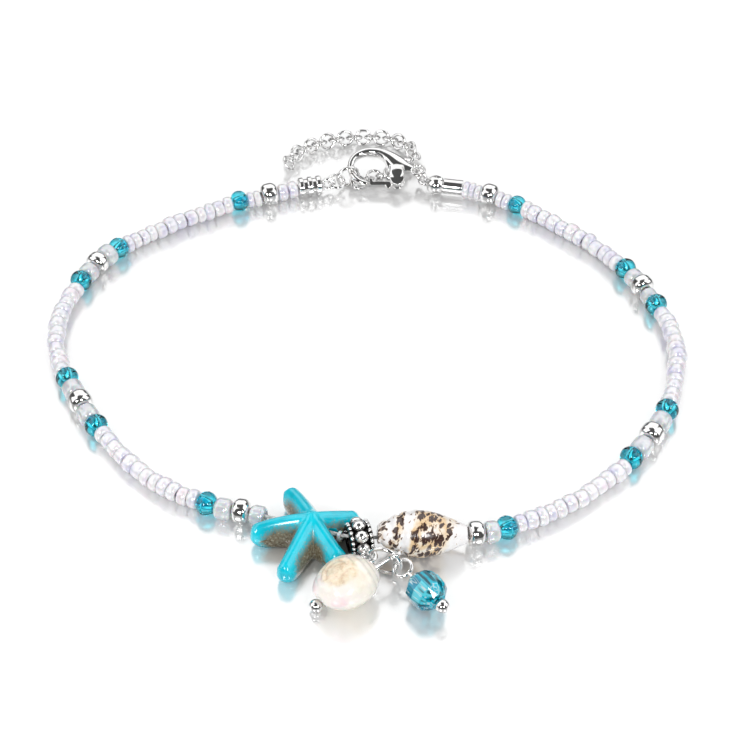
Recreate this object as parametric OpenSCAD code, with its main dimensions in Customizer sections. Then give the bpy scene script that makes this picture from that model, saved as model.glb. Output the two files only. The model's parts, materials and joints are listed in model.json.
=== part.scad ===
// A beaded charm anklet lying on a flat surface, fastened into a closed loop.
// The charms are at the front (-Y), the clasp and its extender chain at the back (+Y).
// The surface that it lies on is z = 0.

/* [Strand] */
// Diameter of the thread that every bead is strung on
thread_d = 0.4; // [0.3:0.05:0.4]
// Diameter of the hole drilled through beads and charms
bore_d = 1; // [0.95:0.05:1.05]
// Diameter of the white seed beads
seed_d = 2.2; // [2.1:0.05:2.3]
// Diameter of the aqua glass beads
aqua_d = 2.85; // [2.7:0.05:3]
// Diameter of the silver beads
silver_d = 3; // [2.8:0.1:3.1]
// Gap between neighbouring beads
bead_gap = 0.12; // [0.1:0.01:0.15]

/* [Charms] */
// Height of the starfish at its middle
star_h = 4.6; // [4.2:0.1:4.9]
// Widest diameter of the sea shell
shell_d = 5.4; // [5:0.1:5.6]
// Diameter of the large silver granules on the bail
granule_d = 1.5; // [1.4:0.02:1.54]
// Diameter of the faceted crystal
crystal_d = 4.5; // [4.2:0.1:4.5]
// Diameter of the ball at the end of each head pin
pin_ball_d = 1.6; // [1.4:0.1:1.8]
// Diameter of the head pins' wire
pin_wire_d = 0.46; // [0.4:0.02:0.5]

/* [Clasp and chain] */
// Thickness of the clasp's body at its hinge
clasp_thick = 1.8; // [1.7:0.05:1.9]
// Thickness of the clasp's lever
lever_thick = 0.7; // [0.6:0.05:0.7]
// Angle at which the clasp leans on the chain under it
clasp_tilt = 24; // [22:1:26]
// Outer diameter of a chain link
link_d = 2.44; // [2.4:0.02:2.46]
// Diameter of the chain's wire
link_wire_d = 0.42; // [0.4:0.02:0.44]

/* [Hidden] */

// Names of the white and coloured kinds of bead, and of what hangs on the same thread
SEED = "seed";
AQUA = "aqua";
CLEAR = "clear";
SILVER = "silver";
STAR = "star";
BAIL = "bail";
SHELL = "shell";

// The thread's way round the ankle, chosen by hand: [x, y, z].
// It starts at the back left, runs past the charms and ends at the back right.
// The first and the last point only steer the curve.
ROUTE = [
    [-3.0, 33.2, 1.4], [-5.6, 32.6, 1.4], [-9.5, 31.8, 1.4], [-13.5, 30.2, 1.4], [-17.5, 28.7, 1.3],
    [-24.5, 25.0, 1.3], [-29.8, 21.1, 1.3], [-34.0, 17.2, 1.3], [-37.0, 12.0, 1.3], [-38.8, 6.1, 1.3],
    [-39.2, 0.6, 1.3], [-38.4, -3.4, 1.3], [-36.8, -7.4, 1.3], [-32.4, -15.8, 1.3], [-26.0, -23.8, 1.3],
    [-18.5, -28.8, 1.4], [-12.5, -30.7, 1.6], [-6.0, -33.2, 2.0], [-1.5, -35.1, 2.35], [1.5, -35.2, 2.5],
    [6.2, -34.8, 2.4], [11.2, -34.3, 2.2], [16.0, -32.8, 1.6], [24.0, -28.4, 1.3], [31.0, -21.9, 1.3],
    [36.3, -13.7, 1.3], [38.7, -5.4, 1.3], [38.9, 0.6, 1.3], [37.6, 6.1, 1.3], [34.5, 13.4, 1.3],
    [29.5, 20.2, 1.3], [21.2, 27.6, 1.3], [17.4, 29.9, 1.4], [13.6, 31.6, 1.5], [10.2, 32.2, 1.5],
    [6.5, 32.7, 1.5]
];

// How far along the thread the first bead starts
string_start = 4.0;

// What is strung, in order along the thread: [kind, how many, length of each, diameter]
STRINGING = [
    [SEED, 2, 1.45, seed_d], [SILVER, 1, 2.4, silver_d], [SEED, 2, 1.02, seed_d], [AQUA, 1, 2.1, aqua_d],
    [SEED, 12, 1.39, seed_d], [AQUA, 1, 2.1, aqua_d],
    [CLEAR, 1, 1.9, 2.9], [SILVER, 1, 2.2, silver_d], [CLEAR, 1, 1.9, 2.6], [AQUA, 1, 2.1, aqua_d],
    [SEED, 12, 1.455, seed_d], [AQUA, 1, 2.1, aqua_d],
    [CLEAR, 1, 2.5, 2.6], [SILVER, 1, 2.5, silver_d], [CLEAR, 1, 2.5, 2.6], [AQUA, 1, 2.1, aqua_d],
    [SEED, 12, 1.45, seed_d], [AQUA, 1, 2.1, aqua_d],
    [CLEAR, 1, 2.2, 2.6], [SILVER, 1, 2.1, silver_d], [CLEAR, 1, 2.0, 2.4],
    [STAR, 1, 9.0, 0], [CLEAR, 1, 0.52, 1.3], [BAIL, 1, 3.98, 0], [SHELL, 1, 10.25, 0],
    [SILVER, 1, 2.1, silver_d], [CLEAR, 1, 1.8, 2.6], [AQUA, 1, 2.1, aqua_d],
    [SEED, 12, 1.43, seed_d], [AQUA, 1, 2.1, aqua_d],
    [CLEAR, 1, 2.6, 2.6], [SILVER, 1, 2.5, silver_d], [CLEAR, 1, 2.6, 2.6], [AQUA, 1, 2.1, aqua_d],
    [SEED, 13, 1.405, seed_d], [AQUA, 1, 2.1, aqua_d],
    [CLEAR, 1, 1.8, 2.3], [SILVER, 1, 2.2, silver_d], [CLEAR, 1, 1.9, 2.5], [AQUA, 1, 2.1, aqua_d],
    [SEED, 12, 1.457, seed_d], [AQUA, 1, 2.0, 2.6],
    [SEED, 2, 1.02, seed_d], [SILVER, 1, 2.4, silver_d], [SEED, 3, 0.88, seed_d]
];

// A smooth curve through the route's points, as many short steps
STEPS = 12;
function blend_point(a, b, c, d, t) =
    0.5 * (2 * b + (c - a) * t + (2 * a - 5 * b + 4 * c - d) * t * t + (3 * b - a - 3 * c + d) * t * t * t);
function smooth_way(way) = concat(
    [for (i = [1 : len(way) - 3]) for (k = [0 : STEPS - 1])
        blend_point(way[i - 1], way[i], way[i + 1], way[i + 2], k / STEPS)],
    [way[len(way) - 2]]);
function lengths_along(curve) =
    [for (i = 0, s = 0; i < len(curve);
        s = s + (i + 1 < len(curve) ? norm(curve[i + 1] - curve[i]) : 0), i = i + 1) s];
function tables(curve) = let (s = lengths_along(curve))
    [for (axis = [0 : 2]) [for (i = [0 : len(curve) - 1]) [s[i], curve[i][axis]]]];
function place(t, s) = [lookup(s, t[0]), lookup(s, t[1]), lookup(s, t[2])];
function heading(t, s) = let (d = place(t, s + 0.3) - place(t, s - 0.3)) d / norm(d);
thread_tables = tables(smooth_way(ROUTE));
thread_length = thread_tables[0][len(thread_tables[0]) - 1][0];

// Where each row of the stringing starts
function row_length(i) = STRINGING[i][1] * STRINGING[i][2];
row_starts = [for (i = 0, s = string_start; i < len(STRINGING); s = s + row_length(i), i = i + 1) s];
string_end = row_starts[len(STRINGING) - 1] + row_length(len(STRINGING) - 1);
function rows_of(kind) = [for (i = [0 : len(STRINGING) - 1]) if (STRINGING[i][0] == kind) i];
function row_middle(i) = row_starts[i] + row_length(i) / 2;

// Every bead rests on the surface unless the thread lifts it by more than this slack
bore_slack = 0.2;
function bead_centre(s, r) =
    let (p = place(thread_tables, s))
    [p.x, p.y, max(r + 0.02, p.z - bore_slack)];

aqua_rows = rows_of(AQUA);
clear_rows = rows_of(CLEAR);
silver_rows = rows_of(SILVER);
seed_rows = rows_of(SEED);
star_row = rows_of(STAR)[0];
bail_row = rows_of(BAIL)[0];
shell_row = rows_of(SHELL)[0];

// Starfish: [direction of the arm, reach of its tip]
STAR_ARMS = [[-115, 7.8], [-58, 6.1], [21, 5.7], [111, 6.8], [177, 7.1]];
star_at = [-6, -33.5];
star_rim_z = 1.5;
arm_root_w = 1.65;
arm_tip_w = 1.1;

// Sea shell, from its spire to its other end: [distance along it, share of its widest radius]
SHELL_PROFILE = [
    [0, 0.38], [0.5, 0.5], [1.2, 0.64], [2, 0.79], [3, 0.92], [4, 0.99], [5, 1], [6, 0.95], [7, 0.85],
    [8, 0.72], [9, 0.56], [9.7, 0.45], [10.1, 0.4]
];
shell_l = 10.1;
shell_dip = 4;
shell_lift = 0.36;
spire_l = 3.6;
whorl_pitch = 1.25;

// Pearl: half sizes along its pin, across it and upwards
PEARL_HALF = [3.75, 3.2, 2.7];
pearl_at = [-2.1, -42.1, 2.6];

// Head pins: the ball's centre, the eye's centre, the eye's radius, and the eye's roll about the pin
pearl_ball = [-5.4, -44.0, 0.82];
pearl_eye = [3.3, -38.9, 3.6];
pearl_eye_r = 0.68;
pearl_eye_roll = 50;
crystal_ball = [8.45, -45.35, 2.35];
crystal_eye = [4.2, -39.5, 2.1];
crystal_eye_r = 1.05;
crystal_eye_roll = 65;

// Bail and the ring that carries both drops
bail_r = 1.6;
bail_l = 2.7;
bail_turn = 15;
granules = 8;
granule_turn = -5;
bail_rim_d = 0.56;
bail_loop_at = [0.42, -37.85, 2.2];
charm_ring_at = [2.2, -38.5, 2.14];
charm_ring_r = 1.85;
charm_ring_turn = -20;
ring_wire_d = 0.5;

// Clasp, in its own plane, from the claw's tip round to the tail: [x, y, width, thickness]
CLAW = [
    [-1.5, -2.5, 0.75, 1.0], [-2.6, -2.25, 0.9, 1.2], [-3.6, -1.4, 0.95, 1.3], [-4.1, 0.1, 0.95, 1.3],
    [-3.6, 1.6, 1.0, 1.4], [-2.2, 2.5, 1.1, 1.5], [-0.5, 2.55, 1.3, 1.7], [1.1, 1.85, 1.9, 1.8],
    [2.4, 0.85, 2.5, 1.8], [3.7, 0.3, 1.7, 1.6], [4.6, 0.1, 1.0, 1.3]
];
// Outlines of the clasp's cheeks at the hinge, and of the thinner web between them and the claw
CHEEK = [[1.56, -1.8], [1.45, 0.2], [3.2, 0.3], [3.54, -1.7]];
WEB = [[1.6, -1.6], [0.95, 0.2], [0.3, 1.8], [1.4, 1.6], [2.6, 0.2]];
web_thick = 1.4;
clasp_at = [1.9, 34.9, 2.35];
clasp_turn = -5;
hinge = [2.55, -1.75];
rivet_d = 0.6;
lever_slack = 0.05;

// Rings and links between the ends of the strand and the clasp
tail_loop_r = 0.8;
left_loop_at = [-5.2, 32.7, 1.45];
end_ring_at = [-4.09, 33.11, 1.56];
end_ring_r = 1.05;
held_ring_at = [-2.52, 33.96, 1.76];
held_ring_r = 1.5;
clamshell_at = [9.65, 32.35, 1.5];
clamshell_r = 1.35;
right_loop_at = [8.16, 33.41, 1.37];
clasp_ring_at = [7.63, 34.04, 1.75];
clasp_ring_r = 1;
clasp_wire_d = 0.48;

// The extender chain's way, under the clasp and back, at the height of its links' middles.
// The first and the last point only steer the curve.
CHAIN_WAY = [
    [-2.3, 33.0, 0.65], [-1.14, 34.12, 0.65], [0.0, 34.76, 0.66], [1.4, 35.4, 0.7], [2.9, 35.9, 0.79],
    [4.4, 36.5, 0.95], [5.8, 37.5, 1.05], [6.5, 39.0, 1.1], [6.5, 40.6, 1.12], [5.5, 42.3, 1.15],
    [3.7, 43.6, 1.15], [1.3, 44.1, 1.15], [-1.5, 44.1, 1.15], [-4.3, 43.6, 1.15], [-7.0, 42.5, 1.15],
    [-9.2, 40.9, 1.15], [-10.6, 39.0, 1.1], [-10.9, 37.2, 0.95], [-10.7, 35.5, 0.7]
];
link_pitch = 1.3;
link_tilt = 24;

// Faces between rings of points that follow each other, n points in a ring
function wall_faces(rings, n, first = 0, inward = false) =
    [for (i = [0 : rings - 2]) for (j = [0 : n - 1])
        let (a = first + i * n + j, b = first + i * n + (j + 1) % n)
        inward ? [a, a + n, b + n, b] : [a, b, b + n, a + n]];
function cap_face(ring, n, last = false) =
    [for (j = [0 : n - 1]) ring * n + (last ? j : n - 1 - j)];
function flat(lists) = [for (a = lists) for (b = a) b];

// A closed skin over rings of points
module skin(rings) {
    n = len(rings[0]);
    m = len(rings);
    polyhedron(
        points = flat(rings),
        faces = concat([cap_face(0, n)], wall_faces(m, n), [cap_face(m - 1, n, true)]));
}

// A ring of points square to the thread
function thread_ring(centre, s, r, sides) =
    let (h = heading(thread_tables, s), side = [h.y, -h.x, 0] / norm([h.y, -h.x]), up = cross(side, h))
    [for (j = [0 : sides - 1]) centre + r * (cos(j * 360 / sides) * side + sin(j * 360 / sides) * up)];

thread_rings = 76;
thread_sides = 8;
module thread() {
    from = 1.2;
    to = thread_length - 1.6;
    color("white")
    skin([for (i = [0 : thread_rings - 1]) let (s = from + (to - from) * i / (thread_rings - 1))
        thread_ring(place(thread_tables, s), s, thread_d / 2, thread_sides)]);
}

// The tube that a stretch of seed beads fills, hollow for the thread
seed_sides = 10;
module seed_string(i) {
    row = seed_rows[i - 1];
    from = row_starts[row] + bead_gap / 2;
    to = row_starts[row] + row_length(row) - bead_gap / 2;
    m = max(2, 1 + ceil((to - from) / 3.5));
    stations = [for (k = [0 : m - 1]) from + (to - from) * k / (m - 1)];
    outer = [for (s = stations) thread_ring(bead_centre(s, seed_d / 2), s, seed_d / 2, seed_sides)];
    inner = [for (s = stations) thread_ring(bead_centre(s, seed_d / 2), s, bore_d / 2, seed_sides)];
    shift = m * seed_sides;
    color("white")
    polyhedron(
        points = concat(flat(outer), flat(inner)),
        faces = concat(
            wall_faces(m, seed_sides),
            wall_faces(m, seed_sides, shift, true),
            [for (j = [0 : seed_sides - 1]) let (k = (j + 1) % seed_sides) [j, shift + j, shift + k, k]],
            [for (j = [0 : seed_sides - 1]) let (k = (j + 1) % seed_sides, e = (m - 1) * seed_sides)
                [e + j, e + k, shift + e + k, shift + e + j]]));
}

// A drilled bead with rounded shoulders, its axis along X
module drilled_bead(d, length, shoulder) {
    $fn = 64;
    r = d / 2;
    half = length / 2;
    rotate([0, 90, 0])
    rotate_extrude()
    intersection() {
        translate([bore_d / 2, -half])
            square([r - bore_d / 2, length]);
        union() {
            for (side = [-1, 1])
                translate([r - shoulder, side * (half - shoulder)])
                circle(r = shoulder);
            translate([0, -half])
                square([r - shoulder, length]);
            translate([0, shoulder - half])
                square([r, length - 2 * shoulder]);
        }
    }
}

// Puts what is drawn along X where a row of the stringing lies
module on_thread(row) {
    s = row_middle(row);
    h = heading(thread_tables, s);
    translate(bead_centre(s, STRINGING[row][3] / 2))
    rotate([0, -asin(h.z), atan2(h.y, h.x)])
    children();
}

module strung_bead(row, shoulder_share) {
    d = STRINGING[row][3];
    length = row_length(row) - bead_gap;
    shoulder = min(shoulder_share * length, (d - bore_d) / 2 - 0.05);
    on_thread(row) drilled_bead(d, length, shoulder);
}

module aqua_bead(i) {
    color("deepskyblue") strung_bead(aqua_rows[i - 1], 0.42);
}

module clear_bead(i) {
    color("gainsboro") strung_bead(clear_rows[i - 1], 0.4);
}

module silver_bead(i) {
    color("silver") strung_bead(silver_rows[i - 1], 0.36);
}

// A straight hole along the thread through a charm
module thread_hole(row, extra, d = bore_d) {
    from = place(thread_tables, row_starts[row] - extra);
    to = place(thread_tables, row_starts[row] + row_length(row) + extra);
    way = to - from;
    translate(from)
    rotate([0, acos(way.z / norm(way)), atan2(way.y, way.x)])
    cylinder(d = d, h = norm(way), $fn = 48);
}

// Starfish: how far its edge is from the middle in each direction
arm_taper = 0.075;
function arm_edge(turn, reach) =
    let (mid = reach - arm_tip_w, off = abs(sin(turn)), ahead = cos(turn),
        side = arm_root_w / (off + arm_taper * ahead))
    ahead <= 0 ? 0
    : mid * off < arm_tip_w ? min(side, mid * ahead + sqrt(pow(arm_tip_w, 2) - pow(mid * off, 2)))
    : side;
function star_edge(a) =
    let (sum = [for (arm = STAR_ARMS) pow(arm_edge(a - arm[0], arm[1]), 7)])
    pow(sum * [1, 1, 1, 1, 1], 1 / 7);

// Starfish: height of its top above the rim, a ridge along each arm
function arm_half(along, reach) = arm_root_w - arm_taper * min(along, reach - arm_tip_w);
function ridge(along, reach) =
    let (mid = reach - arm_tip_w, over = max(0, along - mid) / arm_tip_w)
    (star_h - star_rim_z) * (1 - 0.45 * min(1, along / mid)) * sqrt(max(0, 1 - over * over));
function arm_top(x, y, reach) =
    x <= 0 ? 0 : ridge(x, reach) * pow(max(0, 1 - pow(y / arm_half(x, reach), 2)), 0.6);
function star_top(r, a) =
    let (sum = [for (arm = STAR_ARMS) pow(arm_top(r * cos(a - arm[0]), r * sin(a - arm[0]), arm[1]), 16)])
    pow(sum * [1, 1, 1, 1, 1], 1 / 16);

// Directions of the points round each arm, then the rings of the top: [share of reach, share of height]
ARM_TURNS = [-18, -11.5, -5.5, 0, 5.5, 11.5, 18];
STAR_RINGS = [[1, 0], [0.92, 1], [0.78, 1], [0.58, 1], [0.34, 1]];
function star_turns() = flat([for (i = [len(STAR_ARMS) - 1 : -1 : 0])
    let (a = STAR_ARMS[i][0], wraps = i + 1 == len(STAR_ARMS),
        next = STAR_ARMS[wraps ? 0 : i + 1][0] + (wraps ? 360 : 0))
    concat([(a + next) / 2], [for (t = ARM_TURNS) a - t])]);
function star_ring(share, z) =
    [for (a = star_turns()) let (r = share * star_edge(a)) [r * cos(a), r * sin(a), z]];

module starfish() {
    turns = star_turns();
    low = [[0.45, 0.14], [0.86, 0.1], [0.96, 0.7]];
    bottom = [for (ring = low) star_ring(ring[0], ring[1])];
    top = [for (ring = STAR_RINGS) [for (a = turns) let (r = ring[0] * star_edge(a))
        [r * cos(a), r * sin(a), star_rim_z + ring[1] * star_top(r, a)]]];
    color("turquoise")
    difference() {
        translate([star_at.x, star_at.y, 0]) skin(concat(bottom, top));
        thread_hole(star_row, 1);
    }
}

// Silver bail: a tube with a row of large granules between two raised rims, and a loop
module bail() {
    $fn = 48;
    at = place(thread_tables, row_middle(bail_row));
    color("darkgray")
    difference() {
        union() {
            translate(at) rotate([0, 90, bail_turn]) {
                cylinder(r = bail_r, h = bail_l - 0.3, center = true);
                for (k = [0 : granules - 1])
                    rotate([0, 0, granule_turn + k * 360 / granules])
                    translate([bail_r + 0.05, 0, 0])
                    sphere(d = granule_d, $fn = 32);
                for (side = [-1, 1])
                    translate([0, 0, side * (bail_l / 2 - bail_rim_d / 2)])
                    wire_ring(bail_r, bail_rim_d);
            }
            translate(bail_loop_at) wire_ring(0.78, ring_wire_d);
        }
        thread_hole(bail_row, 0.5, 1.3);
    }
}

// Sea shell: a spindle with whorls round its spire
shell_sides = 20;
shell_rings = 25;
function shell_r(x, a) =
    let (fade = max(0, 1 - x / spire_l / 1.4))
    shell_d / 2 * lookup(x, SHELL_PROFILE) * (1 + 0.06 * fade * sin(360 * x / whorl_pitch - a));
function shell_ring(x) = [for (j = [0 : shell_sides - 1]) let (a = -j * 360 / shell_sides)
    [x, shell_r(x, a) * cos(a), shell_r(x, a) * sin(a)]];
module shell() {
    s = row_starts[shell_row] + (row_length(shell_row) - shell_l) / 2;
    from = place(thread_tables, s);
    way = place(thread_tables, s + shell_l) - from;
    color("linen")
    difference() {
        translate([from.x, from.y, shell_d / 2 + shell_lift])
        rotate([0, shell_dip, atan2(way.y, way.x) - 2])
        skin([for (k = [0 : shell_rings - 1]) shell_ring(shell_l * k / (shell_rings - 1))]);
        thread_hole(shell_row, 0.5);
    }
}

// A ring of round wire, flat in the XY plane
module wire_ring(r, wire) {
    rotate_extrude($fn = 48) translate([r, 0]) circle(d = wire, $fn = 32);
}

module charm_ring() {
    color("silver")
    translate(charm_ring_at)
    rotate([90, 0, charm_ring_turn])
    wire_ring(charm_ring_r, ring_wire_d);
}

// Direction from one point to another, as the two angles that rotate() needs
function pitch(way) = acos(way.z / norm(way));
function yaw(way) = atan2(way.y, way.x);

// A head pin: a ball, a straight wire and an eye whose plane is rolled about the wire
module head_pin(ball, eye, eye_r, roll) {
    $fn = 32;
    way = eye - ball;
    run = norm(way);
    translate(ball)
    rotate([0, pitch(way), yaw(way)]) {
        sphere(d = pin_ball_d, $fn = 48);
        cylinder(d = pin_wire_d, h = run - eye_r);
        translate([0, 0, run]) rotate([0, 0, roll]) rotate([90, 0, 0]) wire_ring(eye_r, pin_wire_d);
    }
}

module pin_hole(ball, eye) {
    way = eye - ball;
    translate(ball)
    rotate([0, pitch(way), yaw(way)])
    cylinder(d = pin_wire_d + 0.3, h = norm(way), $fn = 32);
}

// Baroque pearl: a bulging egg along its pin, flattened towards one shoulder
pearl_sides = 20;
pearl_rings = 13;
function pearl_r(a, b) =
    1 + 0.05 * cos(2 * a + 40) * cos(b) + 0.045 * sin(a - 30) * cos(b) + 0.03 * sin(3 * b) * cos(a)
    - 0.09 * exp(-pow((b + 25) / 26, 2)) * exp(-pow((a - 65) / 40, 2));
function pearl_ring(b) =
    [for (j = [0 : pearl_sides - 1]) let (a = 180 - j * 360 / pearl_sides, r = pearl_r(a, b))
        [r * sin(b) * PEARL_HALF.x, r * cos(b) * cos(a) * PEARL_HALF.y, r * cos(b) * sin(a) * PEARL_HALF.z]];
module pearl() {
    way = pearl_eye - pearl_ball;
    color("seashell")
    difference() {
        translate(pearl_at)
        rotate([0, 0, yaw(way)])
        skin([for (k = [0 : pearl_rings - 1]) pearl_ring(-82 + 164 * k / (pearl_rings - 1))]);
        pin_hole(pearl_ball, pearl_eye);
    }
}

module pearl_pin() {
    color("silver") head_pin(pearl_ball, pearl_eye, pearl_eye_r, pearl_eye_roll);
}

// Faceted crystal: a flat table at each end, long facets towards its widest edge and short ones beside it
CRYSTAL_RINGS = [[-1, 0.38, 0], [-0.26, 0.92, 22.5], [0, 1, 0], [0.26, 0.92, 22.5], [1, 0.38, 0]];
crystal_l = 4.1;
crystal_sides = 8;
module crystal() {
    way = crystal_eye - crystal_ball;
    middle = crystal_ball + way / norm(way) * (pin_ball_d / 2 + crystal_l / 2 + 0.05);
    n = crystal_sides;
    last = (len(CRYSTAL_RINGS) - 1) * n;
    color("darkturquoise")
    difference() {
        translate(middle)
        rotate([0, pitch(way), yaw(way)])
        rotate([0, 0, 22.5])
        polyhedron(
            points = [for (ring = CRYSTAL_RINGS) for (j = [0 : n - 1])
                let (a = ring[2] - j * 360 / n, r = ring[1] * crystal_d / 2)
                [r * cos(a), r * sin(a), ring[0] * crystal_l / 2]],
            faces = concat(
                [[for (j = [n - 1 : -1 : 0]) j]],
                [for (i = [0 : len(CRYSTAL_RINGS) - 2]) for (j = [0 : n - 1])
                    let (a = i * n + j, b = i * n + (j + 1) % n, lean = CRYSTAL_RINGS[i][2] == 0)
                    lean ? [a, b, a + n] : [a, b, b + n]],
                [for (i = [0 : len(CRYSTAL_RINGS) - 2]) for (j = [0 : n - 1])
                    let (a = i * n + j, b = i * n + (j + 1) % n, lean = CRYSTAL_RINGS[i][2] == 0)
                    lean ? [b, b + n, a + n] : [a, b + n, a + n]],
                [[for (j = [0 : n - 1]) last + j]]));
        pin_hole(crystal_ball, crystal_eye);
    }
}

module crystal_pin() {
    color("silver") head_pin(crystal_ball, crystal_eye, crystal_eye_r, crystal_eye_roll);
}

// Left end cap: a ridged tube that narrows to a neck and a loop
CAP_RIDGES = [0.1, 1.3, 2.5];
cap_r = 1.1;
ridge_r = 1.36;
ridge_l = 0.7;
cap_l = 3.2;
cap_profile = concat(
    [[bore_d / 2, 0], [cap_r, 0]],
    [for (z = CAP_RIDGES) each [
        [cap_r, z], [ridge_r - 0.12, z], [ridge_r, z + 0.12],
        [ridge_r, z + ridge_l - 0.12], [ridge_r - 0.12, z + ridge_l], [cap_r - 0.02, z + ridge_l]]],
    [[0.45, cap_l + 0.5], [0, cap_l + 0.5], [0, cap_l - 0.1], [bore_d / 2, cap_l - 0.1]]);
module left_end_cap() {
    start = string_start - bead_gap;
    from = place(thread_tables, start);
    way = left_loop_at - from;
    color("silver") {
        translate([from.x, from.y, ridge_r + 0.05])
        rotate([0, 90, yaw(way)])
        rotate([0, 0, 25])
        rotate_extrude($fn = 64) polygon(cap_profile);
        translate(left_loop_at) rotate([90, 0, yaw(way)]) rotate([0, 0, 70]) wire_ring(0.78, 0.5);
    }
}

// Right end cap: a crimped tube, a clamshell over the knot, its seam and a loop
module right_end_cap() {
    $fn = 64;
    start = string_end + bead_gap;
    from = place(thread_tables, start);
    way = clamshell_at - from;
    run = norm([way.x, way.y]);
    color("silver") {
        translate([from.x, from.y, clamshell_at.z])
        rotate([0, 90, yaw(way)])
        difference() {
            union() {
                cylinder(r = 1.05, h = 2.6);
                cylinder(r = 0.8, h = run);
                translate([0, 0, run]) sphere(r = clamshell_r);
            }
            translate([0, 0, -0.1]) cylinder(d = bore_d, h = run);
            translate([0, 0, run]) rotate([90, 0, 0])
                rotate_extrude() translate([clamshell_r, 0]) circle(d = 0.2, $fn = 24);
        }
        translate(right_loop_at) wire_ring(0.75, 0.46);
    }
}

module end_ring() {
    color("silver") translate(end_ring_at) rotate([23, 0, 19]) wire_ring(end_ring_r, link_wire_d);
}

module held_ring() {
    color("silver") translate(held_ring_at) rotate([92, 0, 21]) wire_ring(held_ring_r, clasp_wire_d);
}

module clasp_ring() {
    color("silver") translate(clasp_ring_at) rotate([92, 0, -56]) wire_ring(clasp_ring_r, clasp_wire_d);
}

// Places what is drawn in the clasp's own plane
module in_clasp() {
    translate(clasp_at) rotate([clasp_tilt, 0, clasp_turn]) children();
}

// The claw is a bar with rounded edges, swept along its table
claw_sides = 12;
claw_steps = 3;
function claw_way() = concat(
    [for (i = [0 : len(CLAW) - 2]) for (k = [0 : claw_steps - 1])
        let (a = CLAW[max(0, i - 1)], b = CLAW[i], c = CLAW[i + 1], d = CLAW[min(len(CLAW) - 1, i + 2)])
        blend_point(a, b, c, d, k / claw_steps)],
    [CLAW[len(CLAW) - 1]]);
function squared(v) = sign(v) * pow(abs(v), 0.8);
function claw_ring(way, i) =
    let (p = way[i], q = way[min(len(way) - 1, i + 1)] - way[max(0, i - 1)],
        h = [q.x, q.y] / norm([q.x, q.y]))
    [for (j = [0 : claw_sides - 1]) let (a = j * 360 / claw_sides)
        let (out = squared(cos(a)) * p[2] / 2)
        [p[0] + out * h.y, p[1] - out * h.x, squared(sin(a)) * p[3] / 2]];

module clasp_body() {
    $fn = 64;
    way = claw_way();
    color("silver")
    in_clasp() {
        difference() {
            union() {
                skin([for (i = [0 : len(way) - 1]) claw_ring(way, i)]);
                linear_extrude(height = clasp_thick, center = true) {
                    translate(hinge) circle(r = 1);
                    polygon(CHEEK);
                }
                linear_extrude(height = web_thick, center = true) polygon(WEB);
            }
            translate([0.9, -3.2, -lever_thick / 2 - lever_slack])
                cube([2.9, 2.5, lever_thick + 2 * lever_slack]);
        }
        translate([hinge.x, hinge.y, -clasp_thick / 2 + 0.1]) cylinder(d = rivet_d, h = clasp_thick - 0.2);
        translate([4.55 + tail_loop_r, 0.1, 0]) wire_ring(tail_loop_r, 0.5);
    }
}

// The lever closes the claw's mouth from its hinge to a tongue behind the claw's tip
module clasp_lever() {
    $fn = 64;
    color("silver")
    in_clasp()
    linear_extrude(height = lever_thick, center = true)
    difference() {
        union() {
            translate(hinge) circle(r = 0.8);
            polygon([[-1.3, -2.1], [-1.3, -2.8], [2.5, -2.55], [2.5, -1.0], [1.6, -1.9]]);
            polygon([[-1.8, -1.6], [-1.8, -1.92], [-1.35, -1.98], [-1.3, -2.3], [-0.7, -2.2], [-0.9, -1.6]]);
            translate([1.4, -2.72]) circle(r = 0.42);
        }
        translate(hinge) circle(d = rivet_d + 2 * lever_slack);
    }
}

// The extender chain: round links, each turned against the next so that they interlock
chain_tables = tables(smooth_way(CHAIN_WAY));
chain_length = chain_tables[0][len(chain_tables[0]) - 1][0];
chain_links = floor(chain_length / link_pitch) + 1;
module extender_chain() {
    r = link_d / 2 - link_wire_d / 2;
    color("silver")
    for (i = [0 : chain_links - 1]) {
        p = place(chain_tables, i * link_pitch);
        h = heading(chain_tables, i * link_pitch);
        tilt = i % 2 == 0 ? link_tilt : -asin((p.z - link_wire_d / 2 - 0.02) / r);
        translate(p)
        rotate([tilt, 0, yaw(h)])
        wire_ring(r, link_wire_d);
    }
}

thread();
for (i = [1 : len(seed_rows)]) seed_string(i);
for (i = [1 : len(aqua_rows)]) aqua_bead(i);
for (i = [1 : len(clear_rows)]) clear_bead(i);
for (i = [1 : len(silver_rows)]) silver_bead(i);
starfish();
bail();
shell();
charm_ring();
pearl();
pearl_pin();
crystal();
crystal_pin();
left_end_cap();
end_ring();
held_ring();
clasp_body();
clasp_lever();
clasp_ring();
right_end_cap();
extender_chain();
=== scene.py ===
"""Looks of a beaded charm anklet that lies on a pale glossy surface.

Lengths in the tables are millimetres in the row's frame; MM turns them into metres.
"""

import json
import math
import random

import bmesh
import bpy
from mathutils import Matrix, Vector, noise


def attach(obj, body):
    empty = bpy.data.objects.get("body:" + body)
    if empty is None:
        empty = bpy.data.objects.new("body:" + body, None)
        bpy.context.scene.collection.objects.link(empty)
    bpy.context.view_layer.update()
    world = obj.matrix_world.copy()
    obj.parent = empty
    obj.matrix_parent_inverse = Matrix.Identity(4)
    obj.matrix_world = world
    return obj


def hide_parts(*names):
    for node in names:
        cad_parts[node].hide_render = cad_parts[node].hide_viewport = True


MM = 0.001
ROOT_BODY = "anklet"

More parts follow.
